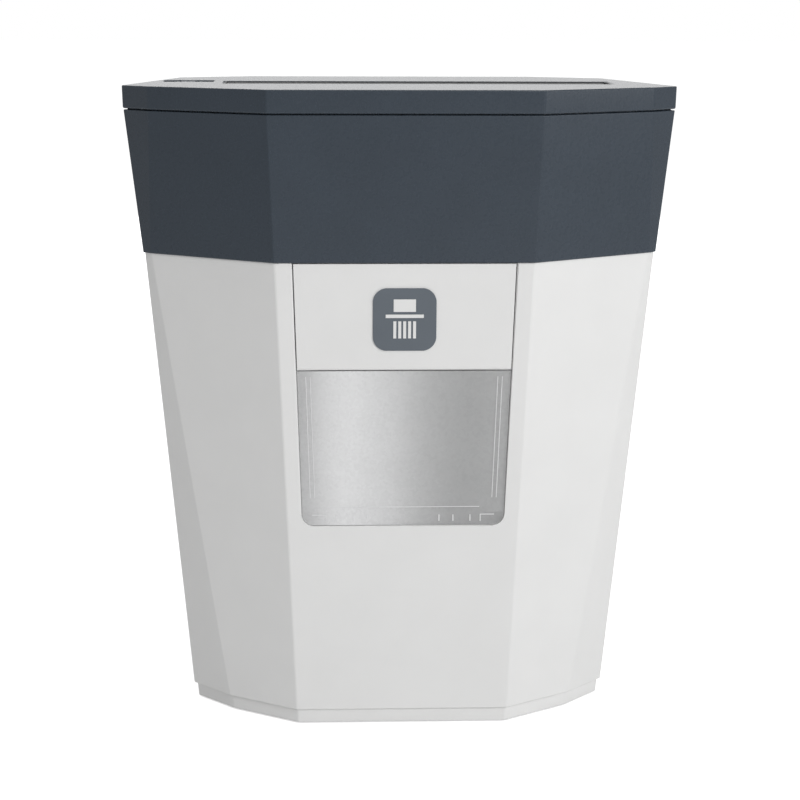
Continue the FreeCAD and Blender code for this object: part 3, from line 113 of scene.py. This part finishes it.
class Graph:
    """A material under construction, with its texture nodes laid over object coordinates."""

    def __init__(self, name: str) -> None:
        """Start a material.

        Args:
            name: The material's name.
        """
        self.material = bpy.data.materials.new(name)
        self.material.use_nodes = True
        self.nodes = self.material.node_tree.nodes
        self.links = self.material.node_tree.links
        self.shader = self.nodes["Principled BSDF"]
        self.place = self.nodes.new("ShaderNodeTexCoord").outputs["Object"]

    def noise(self, size: float, detail: float = 3.0, stretch: Colour = (1, 1, 1)) -> bpy.types.NodeSocket:
        """Add a noise texture.

        Args:
            size: The width of one blotch or grain.
            detail: How many finer octaves it has.
            stretch: How much finer it is along each axis.

        Returns:
            The noise value, around 0.5.
        """
        mapping = self.nodes.new("ShaderNodeMapping")
        mapping.inputs["Scale"].default_value = stretch
        texture = self.nodes.new("ShaderNodeTexNoise")
        texture.inputs["Scale"].default_value = 1 / size
        texture.inputs["Detail"].default_value = detail
        self.links.new(self.place, mapping.inputs["Vector"])
        self.links.new(mapping.outputs["Vector"], texture.inputs["Vector"])
        return texture.outputs["Fac"]

    def between(self, value: bpy.types.NodeSocket, low: float, high: float) -> bpy.types.NodeSocket:
        """Spread a noise value over a range.

        Args:
            value: The noise value.
            low: The result where the noise is low.
            high: The result where the noise is high.

        Returns:
            The spread value.
        """
        spread = self.nodes.new("ShaderNodeMapRange")
        spread.inputs["From Min"].default_value = NOISE_LOW
        spread.inputs["From Max"].default_value = NOISE_HIGH
        spread.inputs["To Min"].default_value = low
        spread.inputs["To Max"].default_value = high
        self.links.new(value, spread.inputs["Value"])
        return spread.outputs["Result"]

    def across(self, stops: Stops) -> bpy.types.NodeSocket:
        """Vary a value smoothly from left to right.

        Args:
            stops: Pairs of a place along X and the value there, from left to right.

        Returns:
            The varied value.
        """
        first, last = stops[0][0], stops[-1][0]
        axes = self.nodes.new("ShaderNodeSeparateXYZ")
        share = self.nodes.new("ShaderNodeMapRange")
        share.inputs["From Min"].default_value = first
        share.inputs["From Max"].default_value = last
        ramp = self.nodes.new("ShaderNodeValToRGB")
        ramp.color_ramp.interpolation = "B_SPLINE"
        elements = ramp.color_ramp.elements
        for place, value in stops[1:-1]:
            elements.new((place - first) / (last - first)).color = (value, value, value, 1)
        for element, (_, value) in ((elements[0], stops[0]), (elements[-1], stops[-1])):
            element.color = (value, value, value, 1)
        self.links.new(self.place, axes.inputs["Vector"])
        self.links.new(axes.outputs["X"], share.inputs["Value"])
        self.links.new(share.outputs["Result"], ramp.inputs["Fac"])
        return ramp.outputs["Color"]

    def scaled(self, value: bpy.types.NodeSocket, factor: bpy.types.NodeSocket) -> bpy.types.NodeSocket:
        """Multiply two values."""
        product = self.nodes.new("ShaderNodeMath")
        product.operation = "MULTIPLY"
        self.links.new(value, product.inputs[0])
        self.links.new(factor, product.inputs[1])
        return product.outputs["Value"]

    def tint(self, value: bpy.types.NodeSocket, colour: Colour, spread: float) -> None:
        """Vary the base colour a little with a noise value.

        Args:
            value: The noise value.
            colour: The middle colour.
            spread: The part of the colour it varies by, each way.
        """
        ramp = self.nodes.new("ShaderNodeValToRGB")
        ends = ramp.color_ramp.elements
        ends[0].position, ends[1].position = NOISE_LOW, NOISE_HIGH
        for end, factor in zip(ends, (1 - spread, 1 + spread)):
            end.color = (*(min(channel * factor, 1.0) for channel in colour), 1.0)
        self.links.new(value, ramp.inputs["Fac"])
        self.links.new(ramp.outputs["Color"], self.shader.inputs["Base Color"])

    def roughen(self, value: bpy.types.NodeSocket, middle: float, spread: float) -> None:
        """Vary the roughness with a noise value.

        Args:
            value: The noise value.
            middle: The middle roughness.
            spread: How far it varies, each way.
        """
        self.links.new(self.between(value, middle - spread, middle + spread), self.shader.inputs["Roughness"])

    def emboss(self, value: bpy.types.NodeSocket, depth: float) -> None:
        """Give the surface a relief.

        Args:
            value: The height, as a noise value.
            depth: The depth of the relief.
        """
        bump = self.nodes.new("ShaderNodeBump")
        bump.inputs["Distance"].default_value = depth
        self.links.new(value, bump.inputs["Height"])
        self.links.new(bump.outputs["Normal"], self.shader.inputs["Normal"])


@dataclass(frozen=True)
class Finish(ABC):
    """A surface finish that several pieces share."""

    name: str

    @abstractmethod
    def build(self) -> bpy.types.Material:
        """Make the material."""


@dataclass(frozen=True)
class MouldedPlastic(Finish):
    """Opaque plastic with a fine spark texture from its mould."""

    colour: Colour
    spread: float = 0.04
    roughness: float = 0.45
    grain: float = 0.9 * MM
    depth: float = 0.03 * MM

    def build(self) -> bpy.types.Material:
        """Make the material."""
        graph = Graph(self.name)
        graph.tint(graph.noise(35 * MM), self.colour, self.spread)
        graph.roughen(graph.noise(3 * MM, 4), self.roughness, 0.025)
        graph.emboss(graph.noise(self.grain, 2), self.depth)
        return graph.material


@dataclass(frozen=True)
class ClearSheet(Finish):
    """Clear moulded sheet, faintly frosted by its texture, whose opacity can be raised and lowered across X
    to paint a soft band of light over the window.
    """

    colour: Colour
    alpha: float
    roughness: float = 0.2
    painted_light_bands: Stops = ()

    def build(self) -> bpy.types.Material:
        """Make the material."""
        graph = Graph(self.name)
        graph.tint(graph.noise(20 * MM), self.colour, 0.02)
        graph.roughen(graph.noise(4 * MM, 4), self.roughness, 0.05)
        graph.emboss(graph.noise(1.2 * MM, 2), 0.02 * MM)
        haze_and_painted_light = graph.between(graph.noise(2 * MM, 4), self.alpha - 0.03, self.alpha + 0.03)
        # Painted light: the opacity is scaled from left to right, painting a soft bright band across the
        # window.
        if self.painted_light_bands:
            haze_and_painted_light = graph.scaled(haze_and_painted_light, graph.across(self.painted_light_bands))
        graph.links.new(haze_and_painted_light, graph.shader.inputs["Alpha"])
        return graph.material


@dataclass(frozen=True)
class Metal(Finish):
    """Ground, plated or sintered metal, with scratches along one axis."""

    colour: Colour
    roughness: float = 0.35
    stretch: Colour = (1, 1, 1)
    scratch: float = 0.6 * MM
    depth: float = 0.01 * MM

    def build(self) -> bpy.types.Material:
        """Make the material."""
        graph = Graph(self.name)
        graph.shader.inputs["Metallic"].default_value = 1.0
        graph.tint(graph.noise(9 * MM, 4), self.colour, 0.1)
        lines = graph.noise(self.scratch, 3, self.stretch)
        graph.roughen(lines, self.roughness, 0.08)
        graph.emboss(lines, self.depth)
        return graph.material


FINISHES: dict[Slot, Finish] = {
    Slot.WHITE: MouldedPlastic("white_spark_plastic", (0.80, 0.80, 0.795), 0.012, 0.42),
    Slot.SLATE: MouldedPlastic("slate_satin_plastic", (0.034, 0.047, 0.064), 0.04, 0.28),
    Slot.BLACK: MouldedPlastic("black_plastic", (0.022, 0.024, 0.027), 0.1, 0.5),
    Slot.GREY: MouldedPlastic("grey_satin_plastic", (0.115, 0.135, 0.158), 0.04, 0.4),
    Slot.CREAM: MouldedPlastic("natural_nylon", (0.68, 0.65, 0.56), 0.04, 0.4),
    # The clear sheet's stops paint a soft band of light across the window, brightest left of its middle.
    Slot.CLEAR: ClearSheet("clear_sheet_painted_light", (0.86, 0.865, 0.87), 0.9, 0.28, (
        (-66 * MM, 0.4), (-46 * MM, 1.0), (-26 * MM, 1.0), (8 * MM, 0.44), (40 * MM, 0.3), (64 * MM, 0.4))),
    Slot.LENS: ClearSheet("indicator_lens", (0.62, 0.74, 0.70), 0.8, 0.15),
    Slot.RUBBER: MouldedPlastic("dark_rubber", (0.035, 0.035, 0.036), 0.1, 0.75, 0.6 * MM, 0.06 * MM),
    Slot.CUTTER: Metal("ground_oiled_steel", (0.42, 0.42, 0.43), 0.28, (0.2, 4, 4)),
    Slot.PLATED: Metal("zinc_plated_sheet", (0.60, 0.60, 0.58), 0.38),
    Slot.SCREW: Metal("zinc_plated_screw", (0.52, 0.52, 0.52), 0.32),
    Slot.BRONZE: Metal("sintered_bronze", (0.50, 0.33, 0.16), 0.5),
    Slot.MAGNET: MouldedPlastic("ferrite", (0.06, 0.06, 0.065), 0.15, 0.7),
    Slot.BOARD: MouldedPlastic("green_solder_mask", (0.02, 0.15, 0.06), 0.12, 0.25, 2 * MM, 0.02 * MM),
    Slot.RELAY: MouldedPlastic("blue_relay_case", (0.03, 0.10, 0.32), 0.06, 0.3),
    Slot.CAPACITOR: MouldedPlastic("capacitor_sleeve", (0.07, 0.07, 0.085), 0.08, 0.25),
}


class Palette:
    """The built materials, one for each slot."""

    def __init__(self) -> None:
        """Build every finish once."""
        self.materials = {slot: finish.build() for slot, finish in FINISHES.items()}

    def paint(self, piece: bpy.types.Object, slot: Slot) -> None:
        """Give a piece one finish all over.

        Args:
            piece: The piece.
            slot: The slot whose finish it takes.
        """
        piece.data.materials.clear()
        piece.data.materials.append(self.materials[slot])

    def paint_frame(self, frame: dict) -> None:
        """Give each engineering node the finish of its slot.

        Args:
            frame: The loaded frame.
        """
        for subpart in frame["record"]["subparts"]:
            node = frame["nodes"][subpart["node"]]
            material = self.materials[Slot(subpart["material_slot"])]
            for place in node.material_slots:
                place.material = material


class Bench:
    """The modelling operations that the pieces share."""

    @staticmethod
    def pick(piece: bpy.types.Object) -> None:
        """Select one object alone and make it active."""
        bpy.ops.object.select_all(action="DESELECT")
        piece.select_set(True)
        bpy.context.view_layer.objects.active = piece

    @staticmethod
    def weld(piece: bpy.types.Object) -> None:
        """Join a mesh's loose triangles and merge the flat ones into whole faces."""
        Bench.pick(piece)
        bpy.ops.object.mode_set(mode="EDIT")
        bpy.ops.mesh.select_all(action="SELECT")
        bpy.ops.mesh.remove_doubles(threshold=0.004 * MM)
        bpy.ops.mesh.customdata_custom_splitnormals_clear()
        bpy.ops.mesh.dissolve_limited(angle_limit=math.radians(0.4))
        bpy.ops.mesh.normals_make_consistent(inside=False)
        bpy.ops.object.mode_set(mode="OBJECT")

    @staticmethod
    def select_edges(piece: bpy.types.Object, angle: float, length: float) -> int:
        """Select the edges that turn sharply and are long enough to round.

        Args:
            piece: The piece.
            angle: The least angle between an edge's faces, in radians.
            length: The least length of an edge.

        Returns:
            How many edges were selected.
        """
        Bench.pick(piece)
        bpy.ops.object.mode_set(mode="EDIT")
        bpy.ops.mesh.select_mode(type="EDGE")
        bpy.ops.mesh.select_all(action="DESELECT")
        bpy.ops.object.mode_set(mode="OBJECT")
        mesh = piece.data
        normals = defaultdict(list)
        for face in mesh.polygons:
            for key in face.edge_keys:
                normals[key].append(face.normal)
        count = 0
        for edge in mesh.edges:
            sides = normals[edge.key]
            start, end = (mesh.vertices[corner].co for corner in edge.vertices)
            if len(sides) != 2 or (end - start).length < length:
                continue
            if min(side.length for side in sides) > 0.5 and sides[0].angle(sides[1]) > angle:
                edge.select = True
                count += 1
        return count

    @staticmethod
    def round_edges(piece: bpy.types.Object, radius: float, angle: float, length: float) -> None:
        """Round the long sharp edges.

        Args:
            piece: The piece.
            radius: The width of the rounding.
            angle: The least angle between an edge's faces, in radians.
            length: The least length of an edge.
        """
        if Bench.select_edges(piece, angle, length):
            bpy.ops.object.mode_set(mode="EDIT")
            bpy.ops.mesh.bevel(offset=radius, segments=3, affect="EDGES", clamp_overlap=False)
            bpy.ops.object.mode_set(mode="OBJECT")

    @staticmethod
    def smooth(piece: bpy.types.Object) -> None:
        """Shade the rounded edges smoothly and keep the flat faces flat."""
        Bench.pick(piece)
        bpy.ops.object.shade_smooth_by_angle(angle=math.radians(32))
        weights = piece.modifiers.new("flat_faces", "WEIGHTED_NORMAL")
        weights.keep_sharp = True
        weights.weight = 100
        bpy.ops.object.modifier_apply(modifier=weights.name)

    @staticmethod
    def bar(name: str, size: Vector, centre: Vector, turn: Matrix, radius: float) -> bpy.types.Object:
        """Make a small bar with rounded edges.

        Args:
            name: The piece's name.
            size: Its length along each of its own axes.
            centre: Its middle.
            turn: The rotation of its axes.
            radius: The radius of its edges.

        Returns:
            The bar, at the origin, with its place in its mesh.
        """
        bpy.ops.object.select_all(action="DESELECT")
        bpy.ops.mesh.primitive_cube_add(size=1, location=centre, rotation=turn.to_euler())
        piece = bpy.context.active_object
        piece.scale = size
        piece.name = name
        Bench.pick(piece)
        bpy.ops.object.transform_apply(location=True, rotation=True, scale=True)
        Bench.round_edges(piece, radius, math.radians(30), 0)
        return piece

    @staticmethod
    def join(name: str, parts: list[bpy.types.Object]) -> bpy.types.Object:
        """Join pieces into one.

        Args:
            name: The joined piece's name.
            parts: The pieces.

        Returns:
            The joined piece.
        """
        bpy.ops.object.select_all(action="DESELECT")
        for part in parts:
            part.select_set(True)
        bpy.context.view_layer.objects.active = parts[0]
        bpy.ops.object.join()
        parts[0].name = name
        return parts[0]


@dataclass
class Casing:
    """A moulded or pressed piece that follows its engineering shape, with its edges rounded."""

    node: str
    body: Body
    slot: Slot
    radius: float = 0.5 * MM
    angle: float = math.radians(10)
    length: float = 8 * MM

    def build(self, frame: dict, palette: Palette) -> bpy.types.Object:
        """Make the piece.

        Args:
            frame: The loaded frame.
            palette: The materials.

        Returns:
            The finished piece.
        """
        Bench.pick(frame["nodes"][self.node])
        bpy.ops.object.duplicate()
        piece = bpy.context.active_object
        bpy.ops.object.parent_clear(type="CLEAR_KEEP_TRANSFORM")
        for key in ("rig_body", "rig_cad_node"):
            del piece[key]
        piece.name = f"{self.node}_shown"
        Bench.weld(piece)
        Bench.round_edges(piece, self.radius, self.angle, self.length)
        Bench.smooth(piece)
        palette.paint(piece, self.slot)
        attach(piece, self.body.value)
        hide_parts(self.node)
        LOG.info("%s: %d faces", piece.name, len(piece.data.polygons))
        return piece


@dataclass
class BinAssembly:
    """The white bin with its base, window, panel, badge and feet."""

    lean: float = math.radians(3.43)
    badge_thick: float = 0.8 * MM
    mark_height: float = 0.35 * MM
    mark_edge: float = 0.12 * MM
    flange_rise: float = 6 * MM
    pane_height: float = 101.7 * MM
    line_height: float = 0.3 * MM
    line_edge: float = 0.08 * MM
    taper: float = math.radians(1.84)
    line_finish: ClearSheet = ClearSheet("clear_moulded_line", (0.95, 0.95, 0.96), 0.75, 0.2)
    casings: list[Casing] = field(default_factory=lambda: [
        Casing("bin_body", Body.BIN, Slot.WHITE, 1.0 * MM),
        Casing("base_tray", Body.BIN, Slot.WHITE, 0.9 * MM),
        Casing("front_panel", Body.BIN, Slot.WHITE, 0.5 * MM),
        Casing("window_panel", Body.BIN, Slot.CLEAR, 0.4 * MM),
        Casing("front_badge", Body.BIN, Slot.GREY, 0.25 * MM, length=3 * MM),
        Casing("rubber_feet", Body.BIN, Slot.RUBBER, 0.5 * MM, math.radians(40), 0.5 * MM),
    ])

    def badge_mark(self, palette: Palette) -> bpy.types.Object:
        """Make the badge's raised picture of a sheet going through a slot and out in strips.

        Each bar is its place across, its place up, its width and its height, in millimetres.

        Args:
            palette: The materials.

        Returns:
            The raised picture.
        """
        low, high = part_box("front_badge")
        turn = Matrix.Rotation(self.lean, 3, "X")
        out, up = turn @ Vector((0, -1, 0)), turn @ Vector((0, 0, 1))
        face = (low + high) / 2 + out * (self.badge_thick + self.mark_height) / 2
        sheet, slot = (0, 9, 14, 8), (0, 2.2, 24, 2.2)
        strips = [(across, -6.5, 1.9, 11) for across in (-6.2, -3.1, 0, 3.1, 6.2)]
        parts = []
        for across, rise, width, height in (sheet, slot, *strips):
            centre = face + Vector((across * MM, 0, 0)) + up * rise * MM
            size = Vector((width * MM, self.mark_height, height * MM))
            parts.append(Bench.bar("badge_bar", size, centre, turn, self.mark_edge))
        piece = Bench.join("badge_mark", parts)
        palette.paint(piece, Slot.WHITE)
        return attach(piece, Body.BIN.value)

    def window_lines(self) -> bpy.types.Object:
        """Make the window's moulded lines: its border, sill ribs and corner clips.

        Each bar is its place across, its place up, its width and its height, in millimetres, and its tilt.

        Returns:
            The lines, just proud of the sheet.
        """
        low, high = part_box("window_panel")
        turn = Matrix.Rotation(self.lean, 3, "X")
        out, up = turn @ Vector((0, -1, 0)), turn @ Vector((0, 0, 1))
        sill = Vector((0, low.y, high.z - self.flange_rise)) - up * self.pane_height
        bars = [(0, 12, 98, 0.5, 0)]
        for side in (-1, 1):
            ribs = [(side * across, 4.6, 0.8, 4.4, 0) for across in (23, 32, 43)]
            clip = [(side * 54, 6.8, 9, 0.6, 0), (side * 49.6, 4.6, 0.6, 4.8, 0)]
            border = [(side * across, 58, 0.45, 80, side * self.taper) for across in (58.2, 61)]
            bars += ribs + clip + border
        parts = []
        for across, rise, width, height, tilt in bars:
            centre = sill + Vector((across * MM, 0, 0)) + up * rise * MM + out * self.line_height / 2
            size = Vector((width * MM, self.line_height, height * MM))
            slant = turn @ Matrix.Rotation(tilt, 3, "Y")
            parts.append(Bench.bar("window_bar", size, centre, slant, self.line_edge))
        piece = Bench.join("window_lines", parts)
        piece.data.materials.append(self.line_finish.build())
        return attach(piece, Body.BIN.value)

    def build(self, frame: dict, palette: Palette) -> None:
        """Make the bin's pieces.

        Args:
            frame: The loaded frame.
            palette: The materials.
        """
        for casing in self.casings:
            casing.build(frame, palette)
        self.badge_mark(palette)
        self.window_lines()


@dataclass
class HeadAssembly:
    """The slate head with its cover, feed recess and controls."""

    mark_rise: float = 0.2 * MM
    mark_length: float = 4 * MM
    mark_width: float = 0.8 * MM
    mark_pitch: float = 2 * MM
    mark_start: float = 2.5 * MM
    stop_pitch: float = 8 * MM
    casings: list[Casing] = field(default_factory=lambda: [
        Casing("head_shell", Body.HEAD, Slot.SLATE, 0.6 * MM),
        Casing("top_cover", Body.HEAD, Slot.SLATE, 1.0 * MM),
        Casing("throat_insert", Body.HEAD, Slot.BLACK, 0.4 * MM),
        Casing("control_bezel", Body.HEAD, Slot.BLACK, 0.3 * MM, length=4 * MM),
        Casing("cord_gland", Body.HEAD, Slot.BLACK, 0.4 * MM, math.radians(40), 0.5 * MM),
        Casing("switch_knob", Body.KNOB, Slot.GREY, 0.4 * MM, length=3 * MM),
    ])

    def control_marks(self, palette: Palette) -> bpy.types.Object:
        """Make the raised bars behind the indicator lenses: one, two and three.

        Args:
            palette: The materials.

        Returns:
            The raised marks.
        """
        low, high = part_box("control_bezel")
        middle = (low + high) / 2
        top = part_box("top_cover")[1].z
        parts = []
        for stop, count in zip((-1, 0, 1), (1, 2, 3)):
            for bar in range(count):
                across = middle.x + stop * self.stop_pitch
                centre = Vector((across, high.y + self.mark_start + self.mark_pitch * bar, top))
                size = Vector((self.mark_length, self.mark_width, 2 * self.mark_rise))
                parts.append(Bench.bar("control_bar", size, centre, Matrix.Identity(3), 0.1 * MM))
        piece = Bench.join("control_marks", parts)
        palette.paint(piece, Slot.WHITE)
        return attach(piece, Body.HEAD.value)

    def build(self, frame: dict, palette: Palette) -> None:
        """Make the head's pieces.

        Args:
            frame: The loaded frame.
            palette: The materials.
        """
        for casing in self.casings:
            casing.build(frame, palette)
        self.control_marks(palette)


@dataclass
class DriveAssembly:
    """The frames and gear case, which with the combs and motor hold and turn the cutters."""

    casings: list[Casing] = field(default_factory=lambda: [
        Casing("left_frame", Body.HEAD, Slot.PLATED, 0.4 * MM, math.radians(30), 4 * MM),
        Casing("right_frame", Body.HEAD, Slot.PLATED, 0.4 * MM, math.radians(30), 4 * MM),
        Casing("gear_case", Body.HEAD, Slot.BLACK, 0.6 * MM, math.radians(30), 6 * MM),
    ])

    def build(self, frame: dict, palette: Palette) -> None:
        """Make the drive's pieces.

        Args:
            frame: The loaded frame.
            palette: The materials.
        """
        for casing in self.casings:
            casing.build(frame, palette)


@dataclass(frozen=True)
class Lamp:
    """A soft square light, aimed at the middle of the object.

    Its power is in watts. Its azimuth is how far to the right of the front it stands, and its rise is its
    elevation, both in degrees.
    """

    name: str
    power: float
    size: float
    azimuth: float
    rise: float
    reach: float

    def build(self, target: Vector) -> None:
        """Hang the light.

        Args:
            target: The point it is aimed at.
        """
        data = bpy.data.lights.new(self.name, "AREA")
        data.energy = self.power
        data.shape = "SQUARE"
        data.size = self.size
        side, tilt = math.radians(self.azimuth), math.radians(self.rise)
        away = Vector((math.sin(side) * math.cos(tilt), -math.cos(side) * math.cos(tilt), math.sin(tilt)))
        light = bpy.data.objects.new(self.name, data)
        bpy.context.scene.collection.objects.link(light)
        light.location = target + away * self.reach
        light.rotation_euler = away.to_track_quat("Z", "Y").to_euler()
        light.visible_camera = False


@dataclass
class Studio:
    """The floor, the soft lights, the white surroundings and the camera."""

    eye: Vector = field(default_factory=lambda: Vector((-0.05988, -1.43620, 0.46293)))
    yaw: float = -0.0435875
    pitch: float = 0.18305
    roll: float = 0.003611
    lens: float = 94.92
    sensor: float = 36
    reach: float = 100
    target: Vector = field(default_factory=lambda: Vector((0, 0, 0.22)))
    floor_size: float = 60
    ambient: float = 0.40
    floor_glow: float = 0.7
    lamps: tuple[Lamp, ...] = (
        Lamp("key", power=21, size=0.9, azimuth=26, rise=24, reach=2.4),
        Lamp("top", power=5, size=1.2, azimuth=0, rise=85, reach=1.8),
        Lamp("back", power=14, size=2.2, azimuth=178, rise=14, reach=3.2),
        Lamp("side", power=1.9, size=0.5, azimuth=71, rise=15, reach=1.5),
    )

    def camera(self) -> None:
        """Aim the camera."""
        right = Vector((math.cos(self.yaw), math.sin(self.yaw), 0))
        ahead = Vector((-math.sin(self.yaw) * math.cos(self.pitch),
                        math.cos(self.yaw) * math.cos(self.pitch), -math.sin(self.pitch)))
        up = right.cross(ahead)
        across = math.cos(self.roll) * right + math.sin(self.roll) * up
        rise = math.cos(self.roll) * up - math.sin(self.roll) * right
        data = bpy.data.cameras.new("camera")
        data.lens = self.lens
        data.sensor_width = self.sensor
        data.clip_end = self.reach
        camera = bpy.data.objects.new("camera", data)
        bpy.context.scene.collection.objects.link(camera)
        turn = Matrix((across, rise, -ahead)).transposed().to_4x4()
        camera.matrix_world = Matrix.Translation(self.eye) @ turn
        bpy.context.scene.camera = camera

    def surroundings(self) -> None:
        """Make the white surroundings, plain white to look at and softer as a light."""
        world = bpy.data.worlds.new("surroundings")
        bpy.context.scene.world = world
        world.use_nodes = True
        nodes, links = world.node_tree.nodes, world.node_tree.links
        background = nodes["Background"]
        background.inputs["Color"].default_value = (1, 1, 1, 1)
        path = nodes.new("ShaderNodeLightPath")
        level = nodes.new("ShaderNodeMapRange")
        level.inputs["To Min"].default_value = self.ambient
        level.inputs["To Max"].default_value = 1.0
        links.new(path.outputs["Is Camera Ray"], level.inputs["Value"])
        links.new(level.outputs["Result"], background.inputs["Strength"])

    def floor(self) -> None:
        """Lay the pale floor."""
        bpy.ops.object.select_all(action="DESELECT")
        bpy.ops.mesh.primitive_plane_add(size=self.floor_size, location=(0, 0, 0))
        floor = bpy.context.active_object
        floor.name = "floor"
        graph = Graph("pale_floor")
        graph.tint(graph.noise(400 * MM), (0.93, 0.93, 0.93), 0.01)
        graph.roughen(graph.noise(200 * MM), 0.8, 0.05)
        graph.emboss(graph.noise(3 * MM), 0.02 * MM)
        graph.shader.inputs["Emission Color"].default_value = (1, 1, 1, 1)
        path = graph.nodes.new("ShaderNodeLightPath")
        glow = graph.nodes.new("ShaderNodeMapRange")
        glow.inputs["To Max"].default_value = self.floor_glow
        graph.links.new(path.outputs["Is Camera Ray"], glow.inputs["Value"])
        graph.links.new(glow.outputs["Result"], graph.shader.inputs["Emission Strength"])
        floor.data.materials.append(graph.material)

    def build(self) -> None:
        """Set up the whole studio."""
        bpy.context.scene.view_settings.view_transform = "Standard"
        self.camera()
        self.surroundings()
        self.floor()
        for lamp in self.lamps:
            lamp.build(self.target)


def main() -> None:
    """Build the shredder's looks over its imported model."""
    logging.basicConfig(level=logging.INFO, format="%(name)s %(message)s")
    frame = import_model()
    palette = Palette()
    palette.paint_frame(frame)
    for assembly in (BinAssembly(), HeadAssembly(), DriveAssembly()):
        assembly.build(frame, palette)
        LOG.info("built %s", type(assembly).__name__)
    Studio().build()


if __name__ == "__main__":
    main()
